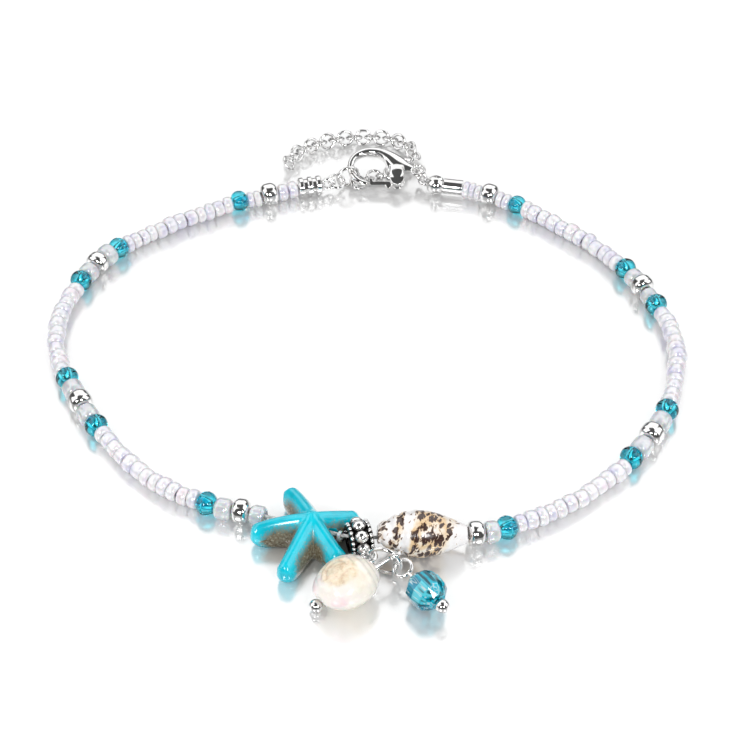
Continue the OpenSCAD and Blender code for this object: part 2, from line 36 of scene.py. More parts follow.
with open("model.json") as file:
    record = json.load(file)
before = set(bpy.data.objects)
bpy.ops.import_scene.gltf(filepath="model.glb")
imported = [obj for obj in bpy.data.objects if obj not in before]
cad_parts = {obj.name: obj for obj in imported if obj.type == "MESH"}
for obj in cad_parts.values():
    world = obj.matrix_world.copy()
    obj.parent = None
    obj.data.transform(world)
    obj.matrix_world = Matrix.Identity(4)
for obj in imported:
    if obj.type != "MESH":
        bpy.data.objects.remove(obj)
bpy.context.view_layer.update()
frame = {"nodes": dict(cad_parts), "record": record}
nodes = frame["nodes"]
scene = bpy.context.scene

# Camera and light

CAMERA_AT = (0.6, -190.3, 167.3)
CAMERA_AIM = (0.6, -4.5, 0.0)
CAMERA_LENS = 96.9
CAMERA_SENSOR = 36


def link_object(name, data):
    obj = bpy.data.objects.new(name, data)
    scene.collection.objects.link(obj)
    return obj


def look_at(obj, at, aim):
    obj.location = Vector(at) * MM
    obj.rotation_euler = (Vector(aim) - Vector(at)).to_track_quat("-Z", "Y").to_euler()


def add_camera():
    data = bpy.data.cameras.new("camera")
    data.lens = CAMERA_LENS
    data.sensor_width = CAMERA_SENSOR
    data.clip_start = 0.005
    data.clip_end = 5
    camera = link_object("camera", data)
    look_at(camera, CAMERA_AT, CAMERA_AIM)
    scene.camera = camera


# Soft boxes: name, place, width, height, watts. Overhead stays dark, so that metal shows a dark band.
LIGHTS = [
    ("back_panel", (0, 380, 400), 1000, 560, 2.1),
    ("left_box", (-300, -20, 230), 300, 400, 0.55),
    ("right_box", (300, -20, 230), 300, 400, 0.55),
    ("front_left_lamp", (-130, -300, 200), 80, 80, 0.46),
    ("front_right_lamp", (150, -290, 210), 80, 80, 0.46),
]
LIGHT_AIM = (0, 0, 0)
WORLD_STRENGTH = 0.09


def add_lights():
    for name, at, width, height, watts in LIGHTS:
        data = bpy.data.lights.new(name, "AREA")
        data.shape = "RECTANGLE"
        data.size = width * MM
        data.size_y = height * MM
        data.energy = watts
        look_at(link_object(name, data), at, LIGHT_AIM)
    world = bpy.data.worlds.new("studio")
    world.use_nodes = True
    background = world.node_tree.nodes["Background"]
    background.inputs["Color"].default_value = (1, 1, 1, 1)
    background.inputs["Strength"].default_value = WORLD_STRENGTH
    scene.world = world
    scene.view_settings.view_transform = "Standard"
    scene.view_settings.look = "None"


# The strand

# The thread's way, as in the source of the solids: x, y, z
ROUTE = [
    (-3.0, 33.2, 1.4), (-5.6, 32.6, 1.4), (-9.5, 31.8, 1.4), (-13.5, 30.2, 1.4), (-17.5, 28.7, 1.3),
    (-24.5, 25.0, 1.3), (-29.8, 21.1, 1.3), (-34.0, 17.2, 1.3), (-37.0, 12.0, 1.3), (-38.8, 6.1, 1.3),
    (-39.2, 0.6, 1.3), (-38.4, -3.4, 1.3), (-36.8, -7.4, 1.3), (-32.4, -15.8, 1.3), (-26.0, -23.8, 1.3),
    (-18.5, -28.8, 1.4), (-12.5, -30.7, 1.6), (-6.0, -33.2, 2.0), (-1.5, -35.1, 2.35), (1.5, -35.2, 2.5),
    (6.2, -34.8, 2.4), (11.2, -34.3, 2.2), (16.0, -32.8, 1.6), (24.0, -28.4, 1.3), (31.0, -21.9, 1.3),
    (36.3, -13.7, 1.3), (38.7, -5.4, 1.3), (38.9, 0.6, 1.3), (37.6, 6.1, 1.3), (34.5, 13.4, 1.3),
    (29.5, 20.2, 1.3), (21.2, 27.6, 1.3), (17.4, 29.9, 1.4), (13.6, 31.6, 1.5), (10.2, 32.2, 1.5),
    (6.5, 32.7, 1.5),
]
STRING_START = 4.0
# What is strung, in order: kind, how many, length of each, diameter
STRINGING = [
    ("seed", 2, 1.45, 2.2), ("silver", 1, 2.4, 3.0), ("seed", 2, 1.02, 2.2), ("aqua", 1, 2.1, 2.85),
    ("seed", 12, 1.39, 2.2), ("aqua", 1, 2.1, 2.85), ("clear", 1, 1.9, 2.9), ("silver", 1, 2.2, 3.0),
    ("clear", 1, 1.9, 2.6), ("aqua", 1, 2.1, 2.85), ("seed", 12, 1.455, 2.2), ("aqua", 1, 2.1, 2.85),
    ("clear", 1, 2.5, 2.6), ("silver", 1, 2.5, 3.0), ("clear", 1, 2.5, 2.6), ("aqua", 1, 2.1, 2.85),
    ("seed", 12, 1.45, 2.2), ("aqua", 1, 2.1, 2.85), ("clear", 1, 2.2, 2.6), ("silver", 1, 2.1, 3.0),
    ("clear", 1, 2.0, 2.4), ("star", 1, 9.0, 0), ("clear", 1, 0.52, 1.3), ("bail", 1, 3.98, 0),
    ("shell", 1, 10.25, 0), ("silver", 1, 2.1, 3.0), ("clear", 1, 1.8, 2.6), ("aqua", 1, 2.1, 2.85),
    ("seed", 12, 1.43, 2.2), ("aqua", 1, 2.1, 2.85), ("clear", 1, 2.6, 2.6), ("silver", 1, 2.5, 3.0),
    ("clear", 1, 2.6, 2.6), ("aqua", 1, 2.1, 2.85), ("seed", 13, 1.405, 2.2), ("aqua", 1, 2.1, 2.85),
    ("clear", 1, 1.8, 2.3), ("silver", 1, 2.2, 3.0), ("clear", 1, 1.9, 2.5), ("aqua", 1, 2.1, 2.85),
    ("seed", 12, 1.457, 2.2), ("aqua", 1, 2.0, 2.6), ("seed", 2, 1.02, 2.2), ("silver", 1, 2.4, 3.0),
    ("seed", 3, 0.88, 2.2),
]
BEAD_GAP = 0.12
BORE_D = 1.0
BORE_SLACK = 0.2
# Steps between two points of the way, and how far to both sides a heading is read
WAY_STEPS = 12
HEADING_REACH = 0.3


def blend_point(a, b, c, d, t):
    return 0.5 * (2 * b + (c - a) * t + (2 * a - 5 * b + 4 * c - d) * t * t + (3 * b - a - 3 * c + d) * t**3)


class Way:
    """A smooth curve through points, read by its length"""

    def __init__(self, points):
        p = [Vector(q) for q in points]
        self.at = [
            blend_point(p[i - 1], p[i], p[i + 1], p[i + 2], k / WAY_STEPS)
            for i in range(1, len(p) - 2)
            for k in range(WAY_STEPS)
        ] + [p[-2]]
        self.s = [0.0]
        for a, b in zip(self.at, self.at[1:]):
            self.s.append(self.s[-1] + (b - a).length)

    def place(self, s):
        s = min(max(s, 0.0), self.s[-1])
        i = max(0, min(len(self.s) - 2, next((k for k, v in enumerate(self.s) if v > s), len(self.s)) - 1))
        t = (s - self.s[i]) / (self.s[i + 1] - self.s[i])
        return self.at[i].lerp(self.at[i + 1], t)

    def heading(self, s):
        return (self.place(s + HEADING_REACH) - self.place(s - HEADING_REACH)).normalized()


strand = Way(ROUTE)


def row_starts():
    starts = [STRING_START]
    for _, count, length, _ in STRINGING:
        starts.append(starts[-1] + count * length)
    return starts


STARTS = row_starts()


def rows_of(kind):
    return [i for i, row in enumerate(STRINGING) if row[0] == kind]


def row_middle(kind):
    """Middle of the first piece of a kind on the thread"""
    row = rows_of(kind)[0]
    return strand.place(STARTS[row] + STRINGING[row][2] / 2)


# Mesh helpers


def dressed(obj, material, smooth=True):
    """Gives a piece its only material and its shading"""
    mesh = obj.data
    mesh.materials.clear()
    mesh.materials.append(material)
    mesh.polygons.foreach_set("use_smooth", [smooth] * len(mesh.polygons))
    mesh.update()
    return obj


def new_piece(name, verts, faces, material, smooth=True, attributes=None):
    """A dressed mesh in metres from points in millimetres"""
    mesh = bpy.data.meshes.new(name)
    mesh.from_pydata([tuple(Vector(v) * MM) for v in verts], [], faces)
    bm = bmesh.new()
    bm.from_mesh(mesh)
    bmesh.ops.recalc_face_normals(bm, faces=bm.faces)
    bm.to_mesh(mesh)
    bm.free()
    for key, values in (attributes or {}).items():
        layer = mesh.attributes.new(key, "FLOAT", "POINT")
        layer.data.foreach_set("value", values)
    return dressed(link_object(name, mesh), material, smooth)


def ring_faces(rings, n, start=0, closed=False):
    """Quads between rings of n points that follow each other"""
    faces = []
    for i in range(rings if closed else rings - 1):
        for j in range(n):
            a = start + i * n + j
            b = start + i * n + (j + 1) % n
            c = start + ((i + 1) % rings) * n + (j + 1) % n
            d = start + ((i + 1) % rings) * n + j
            faces.append((a, b, c, d))
    return faces


def end_faces(rings, n):
    """The two faces that close a stack of rings"""
    return [tuple(reversed(range(n))), tuple(range((rings - 1) * n, rings * n))]


def frame_along(heading):
    """Side and up of a heading"""
    side = Vector((heading.y, -heading.x, 0)).normalized()
    return side, side.cross(heading)


def ball(bm, place, half, segments):
    """A round or oval ball of half sizes in millimetres, at a place in metres"""
    sized = place @ Matrix.Diagonal((*(h * MM for h in half), 1))
    bmesh.ops.create_uvsphere(bm, u_segments=segments, v_segments=segments // 2, radius=1, matrix=sized)


def bell(x, middle, reach):
    """1 at the middle, falling off smoothly to both sides"""
    return math.exp(-(((x - middle) / reach) ** 2))


# Materials


def new_material(name):
    material = bpy.data.materials.new(name)
    material.use_nodes = True
    return material, material.node_tree, material.node_tree.nodes["Principled BSDF"]


def add(tree, kind, **settings):
    node = tree.nodes.new(kind)
    for key, value in settings.items():
        setattr(node, key, value)
    return node


def set_inputs(shader, values):
    for name, value in values.items():
        shader.inputs[name].default_value = value


def object_coords(tree):
    return add(tree, "ShaderNodeTexCoord").outputs["Object"]


def noise_at(tree, scale, detail=3.0, rough=0.5, source=None, output="Fac"):
    """Noise over the source, or else over the object's own coordinates, where scale is in cells a metre"""
    if source is None:
        source = object_coords(tree)
    tex = add(tree, "ShaderNodeTexNoise")
    set_inputs(tex, {"Scale": scale, "Detail": detail, "Roughness": rough})
    tree.links.new(source, tex.inputs["Vector"])
    return tex.outputs[output]


def ramp(tree, fac, stops):
    node = add(tree, "ShaderNodeValToRGB")
    elements = node.color_ramp.elements
    while len(elements) < len(stops):
        elements.new(0.5)
    for element, (at, colour) in zip(elements, stops):
        element.position = at
        element.color = (*colour, 1)
    tree.links.new(fac, node.inputs["Fac"])
    return node.outputs["Color"]


def value_ramp(tree, fac, *stops):
    return ramp(tree, fac, [(at, (v, v, v)) for at, v in stops])


def colour(tree, shader, source):
    tree.links.new(source, shader.inputs["Base Color"])


def roughness(tree, shader, fac, *stops):
    tree.links.new(value_ramp(tree, fac, *stops), shader.inputs["Roughness"])


def bump(tree, shader, height, distance, strength):
    node = add(tree, "ShaderNodeBump")
    set_inputs(node, {"Distance": distance * MM, "Strength": strength})
    tree.links.new(height, node.inputs["Height"])
    tree.links.new(node.outputs["Normal"], shader.inputs["Normal"])
    return node


def mix(tree, fac, a, b, mode="MIX"):
    """Mixes two colours; each value is a socket, and the share may be a number and b a colour"""
    node = add(tree, "ShaderNodeMix", data_type="RGBA", blend_type=mode)
    for socket, value in ((node.inputs[0], fac), (node.inputs[6], a), (node.inputs[7], b)):
        if isinstance(value, (int, float)):
            socket.default_value = value
        elif isinstance(value, tuple):
            socket.default_value = (*value, 1)
        else:
            tree.links.new(value, socket)
    return node.outputs[2]


def attribute(tree, name):
    return add(tree, "ShaderNodeAttribute", attribute_name=name).outputs["Fac"]


def times_plus(tree, value, factor, rest):
    """value * factor + rest"""
    node = add(tree, "ShaderNodeMath", operation="MULTIPLY_ADD")
    tree.links.new(value, node.inputs[0])
    node.inputs[1].default_value = factor
    tree.links.new(rest, node.inputs[2])
    return node.outputs[0]


def vector_math(tree, operation, source, constant):
    node = add(tree, "ShaderNodeVectorMath", operation=operation)
    tree.links.new(source, node.inputs[0])
    node.inputs[1].default_value = constant
    return node


def reach_along(tree, source, direction):
    """How far a vector reaches in a direction"""
    return vector_math(tree, "DOT_PRODUCT", source, direction).outputs["Value"]


def combined(tree, *values):
    node = add(tree, "ShaderNodeCombineXYZ")
    for n, value in enumerate(values):
        tree.links.new(value, node.inputs[n])
    return node.outputs[0]


def between(tree, value, low, high):
    """0 at low, 1 at high"""
    node = add(tree, "ShaderNodeMapRange")
    set_inputs(node, {"From Min": low, "From Max": high})
    tree.links.new(value, node.inputs["Value"])
    return node.outputs["Result"]


def white_glass():
    """White glass with a pearly lustre that turns lavender and pink"""
    material, tree, shader = new_material("white_glass")
    colour(tree, shader, ramp(tree, noise_at(tree, 520, 2), [
        (0.30, (0.72, 0.70, 0.88)), (0.44, (0.85, 0.84, 0.92)),
        (0.56, (0.92, 0.92, 0.94)), (0.7, (0.90, 0.82, 0.89))]))
    roughness(tree, shader, noise_at(tree, 900), (0.3, 0.10), (0.7, 0.2))
    set_inputs(shader, {
        "Transmission Weight": 0.1, "IOR": 1.5, "Coat Weight": 1.0, "Coat Roughness": 0.03, "Coat IOR": 2.2,
        "Subsurface Weight": 0.15, "Subsurface Scale": 0.5 * MM})
    bump(tree, shader, noise_at(tree, 1100, 2), 0.06, 0.5)
    return material


def aqua_glass():
    """Clear teal glass, a little uneven in its colour"""
    material, tree, shader = new_material("aqua_glass")
    colour(tree, shader, ramp(tree, noise_at(tree, 260, 2), [
        (0.3, (0.02, 0.66, 0.84)), (0.7, (0.10, 0.78, 0.92))]))
    roughness(tree, shader, noise_at(tree, 800, 2), (0.3, 0.0), (0.7, 0.03))
    set_inputs(shader, {"Transmission Weight": 1.0, "IOR": 1.5})
    return material


def clear_glass():
    """Milky, slightly cloudy grey-white glass"""
    material, tree, shader = new_material("clear_glass")
    clouds = value_ramp(tree, noise_at(tree, 1400, 3, 0.6), (0.35, 0.25), (0.65, 0.75))
    colour(tree, shader, ramp(tree, clouds, [
        (0.25, (0.70, 0.74, 0.80)), (0.5, (0.81, 0.84, 0.88)), (0.75, (0.92, 0.93, 0.95))]))
    roughness(tree, shader, noise_at(tree, 1400, 2), (0.3, 0.08), (0.7, 0.22))
    set_inputs(shader, {
        "Transmission Weight": 0.3, "IOR": 1.45, "Coat Weight": 1.0, "Coat Roughness": 0.03, "Coat IOR": 2.2,
        "Subsurface Weight": 0.4, "Subsurface Scale": 1 * MM})
    bump(tree, shader, noise_at(tree, 2400), 0.02, 0.3)
    return material


def silver():
    """Bright plated metal with fine wear; its edges are eased in the shading"""
    material, tree, shader = new_material("silver")
    colour(tree, shader, ramp(tree, noise_at(tree, 700, 4), [
        (0.3, (0.74, 0.73, 0.72)), (0.65, (0.90, 0.90, 0.90))]))
    shader.inputs["Metallic"].default_value = 1.0
    roughness(tree, shader, noise_at(tree, 1800, 4), (0.35, 0.04), (0.75, 0.13))
    eased = add(tree, "ShaderNodeBevel", samples=4)
    eased.inputs["Radius"].default_value = 0.12 * MM
    wear = bump(tree, shader, noise_at(tree, 900), 0.04, 0.3)
    tree.links.new(eased.outputs["Normal"], wear.inputs["Normal"])
    return material


def dark_silver():
    """Cast silver, dark in the hollows between its granules"""
    material, tree, shader = new_material("dark_silver")
    away = vector_math(tree, "SUBTRACT", object_coords(tree), row_middle("bail") * MM).outputs[0]
    across = vector_math(tree, "CROSS_PRODUCT", away, BAIL_AXIS).outputs[0]
    out = add(tree, "ShaderNodeVectorMath", operation="LENGTH")
    tree.links.new(across, out.inputs[0])
    proud = between(tree, out.outputs["Value"], *(r * MM for r in BAIL_HOLLOW))
    colour(tree, shader, ramp(tree, proud, [
        (0.0, (0.03, 0.028, 0.027)), (0.45, (0.45, 0.44, 0.43)), (0.9, (0.90, 0.90, 0.89))]))
    shader.inputs["Metallic"].default_value = 1.0
    roughness(tree, shader, noise_at(tree, 1500), (0.3, 0.10), (0.7, 0.24))
    bump(tree, shader, noise_at(tree, 1100), 0.05, 0.3)
    return material


def turquoise_stone():
    """Dyed stone: turquoise on ridges and tips, olive-brown matrix in the hollows between the arms"""
    material, tree, shader = new_material("turquoise_stone")
    edge = noise_at(tree, 900, 4, 0.6)
    speck = noise_at(tree, 3600, 4, 0.7)
    worn = times_plus(tree, speck, 0.5, times_plus(tree, edge, 0.45, attribute(tree, "flank")))
    share = value_ramp(tree, between(tree, worn, 0.93, 1.34), (0.0, 0.0), (0.5, 0.6), (0.9, 1.0))
    blue = ramp(tree, noise_at(tree, 450), [
        (0.3, (0.0, 0.47, 0.60)), (0.55, (0.0, 0.60, 0.75)), (0.75, (0.01, 0.70, 0.83))])
    brown = ramp(tree, speck, [
        (0.3, (0.05, 0.038, 0.02)), (0.46, (0.16, 0.13, 0.08)),
        (0.58, (0.20, 0.19, 0.13)), (0.72, (0.50, 0.46, 0.36))])
    colour(tree, shader, mix(tree, share, blue, brown))
    roughness(tree, shader, edge, (0.3, 0.14), (0.75, 0.32))
    set_inputs(shader, {"Coat Weight": 0.6, "Coat Roughness": 0.09})
    bump(tree, shader, noise_at(tree, 1300, 4), 0.07, 0.4)
    return material


# How thickly the shell is marked: share of its length, how much
SHELL_MARKS = [
    (0.0, 0.6), (0.04, 0.95), (0.09, 0.85), (0.13, 0.15), (0.18, 0.3), (0.23, 1.0), (0.28, 0.85), (0.32, 0.1),
    (0.38, 0.15), (0.43, 1.0), (0.54, 0.85), (0.62, 1.0), (0.74, 0.9), (0.84, 0.8), (0.89, 0.35), (0.93, 0.0),
]
MARKS_SHIFT = 0.04
# How much a band of marks leans, as a share of the shell's length for each millimetre round it
MARKS_LEAN = 0.022
# How far the marks wander along the shell and round it, in millimetres
MARKS_WANDER = (0.8, 0.8, 0)
# Cells of marks in a millimetre along the shell and round it, on two slanting lines
MARK_CELLS = ((2.1, 0.75, 0), (-0.4, 1.05, 0))


def shell_material():
    """White shell, tan clouds and slanting dark brown marks on each whorl, pale at its narrow end"""
    material, tree, shader = new_material("shell")
    place = combined(tree, attribute(tree, "along"), attribute(tree, "around"))
    # The bands lean and wander a little
    warp = add(tree, "ShaderNodeVectorMath", operation="MULTIPLY_ADD")
    tree.links.new(noise_at(tree, 1.3, 2, 0.5, place, "Color"), warp.inputs[0])
    warp.inputs[1].default_value = MARKS_WANDER
    tree.links.new(place, warp.inputs[2])
    share = reach_along(tree, warp.outputs[0], (1 / SHELL_L, MARKS_LEAN, 0))
    bands = value_ramp(tree, share, *((at + MARKS_SHIFT, v) for at, v in SHELL_MARKS))
    # Marks longer round the shell than along it, each with a ragged edge and a tan border
    grid = combined(tree, *(reach_along(tree, warp.outputs[0], line) for line in MARK_CELLS))
    spots = add(tree, "ShaderNodeTexVoronoi", feature="F1")
    spots.inputs["Scale"].default_value = 1.0
    tree.links.new(grid, spots.inputs["Vector"])
    near = times_plus(tree, noise_at(tree, 2.6, 2, 0.5, grid), 0.9, spots.outputs["Distance"])
    reach = times_plus(tree, bands, -0.55, near)
    mark = value_ramp(tree, reach, (0.44, 1.0), (0.50, 0.0))
    halo = value_ramp(tree, reach, (0.46, 0.8), (0.60, 0.0))
    ground = ramp(tree, times_plus(tree, bands, 0.34, noise_at(tree, 420, 3, 0.6)), [
        (0.64, (0.92, 0.90, 0.90)), (0.78, (0.91, 0.82, 0.70)), (0.90, (0.80, 0.58, 0.34))])
    tanned = mix(tree, halo, ground, (0.62, 0.36, 0.16))
    colour(tree, shader, mix(tree, mark, tanned, (0.05, 0.022, 0.016)))
    roughness(tree, shader, noise_at(tree, 900), (0.3, 0.18), (0.7, 0.34))
    set_inputs(shader, {"Coat Weight": 0.5, "Coat Roughness": 0.09})
    bump(tree, shader, noise_at(tree, 1500), 0.05, 0.3)
    return material


def pearl_material():
    """Cream nacre with pinkish clouds and a worn yellowish patch"""
    material, tree, shader = new_material("pearl")
    body = ramp(tree, noise_at(tree, 240), [
        (0.28, (0.89, 0.71, 0.73)), (0.38, (0.92, 0.87, 0.84)),
        (0.58, (0.91, 0.86, 0.76)), (0.75, (0.87, 0.75, 0.61))])
    tan = ramp(tree, noise_at(tree, 1500, 4, 0.6), [
        (0.35, (0.64, 0.45, 0.26)), (0.5, (0.85, 0.70, 0.48)), (0.7, (0.90, 0.82, 0.65))])
    worn = value_ramp(tree, attribute(tree, "worn"), (0.25, 0.0), (0.55, 0.8))
    colour(tree, shader, mix(tree, worn, body, tan))
    roughness(tree, shader, noise_at(tree, 1200), (0.3, 0.16), (0.7, 0.32))
    set_inputs(shader, {
        "Coat Weight": 0.7, "Coat Roughness": 0.08, "Subsurface Weight": 0.15, "Subsurface Scale": 0.8 * MM})
    bump(tree, shader, noise_at(tree, 900), 0.08, 0.4)
    return material


# Size of the crystal's streaks of painted reflection and painted highlight, across the pin and along it
PAINTED_STREAK_W = 0.5
PAINTED_STREAK_L = 6


def crystal_glass():
    """Cut teal crystal, each facet painted a lighter or darker teal as painted light and shade, with painted
    dark reflections of the pin and painted highlights in streaks along it
    """
    material, tree, shader = new_material("crystal_glass")
    normal = add(tree, "ShaderNodeNewGeometry").outputs["True Normal"]
    # Painted light and shade: each facet gets a lighter or darker teal by the way it faces
    painted_facet_shade = ramp(tree, noise_at(tree, 4.3, 0, 0.5, normal), [
        (0.36, (0.0, 0.32, 0.50)), (0.44, (0.0, 0.54, 0.76)),
        (0.56, (0.0, 0.70, 0.90)), (0.64, (0.15, 0.86, 1.0))])
    coords = object_coords(tree)
    side, up = frame_along(CRYSTAL_AXIS)
    painted_streak_axes = [(side, PAINTED_STREAK_W), (up, PAINTED_STREAK_W), (CRYSTAL_AXIS, PAINTED_STREAK_L)]
    stretched = combined(tree, *(reach_along(tree, coords, axis / (size * MM)) for axis, size in painted_streak_axes))
    # Painted streaks along the pin: the dark ones are painted reflection of the pin inside the glass, the
    # bright ones painted highlight lines
    streaks = noise_at(tree, 1, 1, 0.5, stretched)
    deep = value_ramp(tree, streaks, (0.36, 0.2), (0.47, 1.0))
    bright = value_ramp(tree, streaks, (0.53, 0.0), (0.56, 1.0), (0.6, 0.0))
    # The dark painted reflections darken the painted facet shade, and the near-white painted highlights are
    # laid over them
    painted_facets_and_reflection = mix(tree, 1.0, painted_facet_shade, deep, "MULTIPLY")
    colour(tree, shader, mix(tree, bright, painted_facets_and_reflection, (0.85, 1.0, 1.0)))
    roughness(tree, shader, noise_at(tree, 900, 2), (0.4, 0.0), (0.8, 0.02))
    set_inputs(shader, {"Transmission Weight": 0.45, "IOR": 1.6})
    return material


def thread_material():
    """Twisted white nylon, painted darker in the grooves of its twist as painted shade"""
    material, tree, shader = new_material("thread")
    twist = add(tree, "ShaderNodeTexWave", wave_type="BANDS", bands_direction="DIAGONAL")
    set_inputs(twist, {"Scale": 900, "Distortion": 1.0})
    tree.links.new(object_coords(tree), twist.inputs["Vector"])
    turns = twist.outputs["Fac"]
    # Painted shade: the low places of the twist get the darker grey
    colour(tree, shader, ramp(tree, turns, [(0.2, (0.66, 0.66, 0.65)), (0.8, (0.88, 0.88, 0.87))]))
    shader.inputs["Roughness"].default_value = 0.6
    bump(tree, shader, turns, 0.05, 0.5)
    return material


def floor_material():
    """Pale glossy surface"""
    material, tree, shader = new_material("floor")
    colour(tree, shader, value_ramp(tree, noise_at(tree, 6, 2), (0.3, 0.93), (0.7, 0.95)))
    roughness(tree, shader, noise_at(tree, 30, 2), (0.3, 0.19), (0.7, 0.23))
    shader.inputs["Metallic"].default_value = 0.5
    return material


# Beads

FLOOR_CLEARANCE = 0.02


def bead_centre(s, r):
    """Where a bead sits on the thread, as low as its bore and the surface let it"""
    p = strand.place(s)
    return Vector((p.x, p.y, max(r + FLOOR_CLEARANCE, p.z - BORE_SLACK)))


def bead_profile(half, r, hole, shoulder, drop, steps, lip):
    """Outline of a drilled bead, as places along it and radii.

    The shoulder and the drop are the length and depth of its rounded ends. The lip says how far the
    bore's edge lies back, how far it is opened, and to what depth.
    """
    back, rise, deep = lip
    turns = [math.pi / 2 * k / steps for k in range(steps + 1)]
    curve = [(half - shoulder + shoulder * math.sin(t), r - drop + drop * math.cos(t)) for t in turns]
    bore = [(half - back, hole + rise), (half - deep, hole)]
    return [(-x, q) for x, q in reversed(curve)] + curve + bore + [(-x, q) for x, q in reversed(bore)]


def revolved(centre, axis, profile, sides, oval=1.0):
    """Points of a profile that is turned about an axis"""
    side, up = frame_along(axis)
    turns = [-math.tau * j / sides for j in range(sides)]
    return [centre + axis * x + side * (q * math.cos(a) * oval) + up * (q * math.sin(a) / oval)
            for x, q in profile for a in turns]


RANDOM_START = 11
SEED_D = 2.2
SEED_SIDES = 20
SEED_STEPS = 6
SEED_LIP = (0.02, 0.06, 0.12)
SEED_GAP = 0.05
# Longest shoulder, as a share of the bead's length and of its wall
SEED_SHOULDER = 0.42
SEED_WALL_SHOULDER = 0.72
# How unevenly seed beads are made and strung: shares of their size, bore, roundness and length
SEED_SIZES = (0.93, 1.09)
SEED_BORES = (0.8, 0.95)
SEED_OVALS = (0.97, 1.03)
SEED_LENGTHS = (0.82, 1.18)
# How far one may sit to the side and up, and lean to the side and up
SEED_SHIFT = 0.12
SEED_RISE = 0.10
SEED_LEAN = (0.13, 0.10)


def seed_bead(rng, s, length, verts, faces):
    """One rounded seed bead round the thread, a little uneven and askew"""
    r = SEED_D / 2 * rng.uniform(*SEED_SIZES)
    hole = BORE_D / 2 * rng.uniform(*SEED_BORES)
    heading = strand.heading(s)
    side, up = frame_along(heading)
    centre = bead_centre(s, r) + side * rng.uniform(-SEED_SHIFT, SEED_SHIFT) + up * rng.uniform(0, SEED_RISE)
    lean, nod = (rng.uniform(-most, most) for most in SEED_LEAN)
    axis = (heading + side * lean + up * nod).normalized()
    shoulder = min(SEED_SHOULDER * length, (r - hole) * SEED_WALL_SHOULDER)
    profile = bead_profile(length / 2, r, hole, shoulder, shoulder, SEED_STEPS, SEED_LIP)
    faces += ring_faces(len(profile), SEED_SIDES, len(verts), True)
    verts += revolved(centre, axis, profile, SEED_SIDES, rng.uniform(*SEED_OVALS))


def seed_strings(material):
    rng = random.Random(RANDOM_START)
    for n, row in enumerate(rows_of("seed"), 1):
        verts, faces = [], []
        _, count, pitch, _ = STRINGING[row]
        shares = [rng.uniform(*SEED_LENGTHS) for _ in range(count)]
        scale = count * pitch / sum(shares)
        s = STARTS[row]
        for share in shares:
            length = share * scale
            seed_bead(rng, s + length / 2, length - SEED_GAP, verts, faces)
            s += length
        piece = new_piece(f"seed_beads_{n}", verts, faces, material)
        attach(piece, ROOT_BODY)
        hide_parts(f"seed_string_{n}")


# How much of a bead's length is rounded at each end, for each kind
SHOULDERS = {"aqua": 0.5, "clear": 0.32, "silver": 0.4}
ROUND_SIDES = 48
ROUND_STEPS = 15
ROUND_LIP = (0.03, 0.03, 0.1)
# Least flat ring that a bead keeps round its bore
BEAD_END = 0.12
# Depth of a bead's rounding, as a share of its shoulder's length
ROUND_DROP = 1.05


def strung_bead(kind, n, row, material):
    """A smooth drilled bead of glass or metal, where the solids have it"""
    _, _, pitch, d = STRINGING[row]
    length = pitch - BEAD_GAP
    s = STARTS[row] + pitch / 2
    shoulder = SHOULDERS[kind] * length
    drop = min(d / 2 - BORE_D / 2 - BEAD_END, shoulder * ROUND_DROP)
    profile = bead_profile(length / 2, d / 2, BORE_D / 2, shoulder, drop, ROUND_STEPS, ROUND_LIP)
    verts = revolved(bead_centre(s, d / 2), strand.heading(s), profile, ROUND_SIDES)
    faces = ring_faces(len(profile), ROUND_SIDES, 0, True)
    piece = new_piece(f"round_{kind}_bead_{n}", verts, faces, material)
    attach(piece, ROOT_BODY)
    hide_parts(f"{kind}_bead_{n}")


# The starfish

STAR_AT = (-6.0, -33.5)
STAR_H = 4.6
STAR_RIM_Z = 1.5
# Direction of each arm in degrees and reach of its tip
STAR_ARMS = [(-115, 7.8), (-58, 6.1), (21, 5.7), (111, 6.8), (177, 7.1)]
# How far each arm is bent in degrees, at the reach of a middling arm
STAR_BENDS = (0, 3, -5, 5, 8)
ARM_REACH = 7
ARM_ROOT_W = 1.65
ARM_TIP_W = 1.1
ARM_TAPER = 0.075
# Share of its height that a ridge loses on its way to the tip
RIDGE_FALL = 0.45
# Length of a tip along which the brown matrix fades out
CLEAN_TIP_L = 2.6


def arm_edge(turn, reach):
    """How far an arm's edge is from the middle at an angle to the arm"""
    mid = reach - ARM_TIP_W
    off, ahead = abs(math.sin(turn)), math.cos(turn)
    if ahead <= 0:
        return 0.0
    side = ARM_ROOT_W / (off + ARM_TAPER * ahead)
    if mid * off < ARM_TIP_W:
        return min(side, mid * ahead + math.sqrt(ARM_TIP_W**2 - (mid * off) ** 2))
    return side


def star_swirl(x, y):
    """Bends the arms a little, more towards their tips"""
    a, r = math.atan2(y, x), math.hypot(x, y)
    weights = [max(0.0, math.cos(a - math.radians(turn))) ** 4 for turn, _ in STAR_ARMS]
    bend = sum(w * b for w, b in zip(weights, STAR_BENDS)) / max(1e-6, sum(weights))
    a += math.radians(bend) * (r / ARM_REACH) ** 2
    return r * math.cos(a), r * math.sin(a)


def star_edge(a):
    """How far the star's edge is from its middle, rounded where two arms meet"""
    return sum(arm_edge(a - math.radians(t), reach) ** 7 for t, reach in STAR_ARMS) ** (1 / 7)


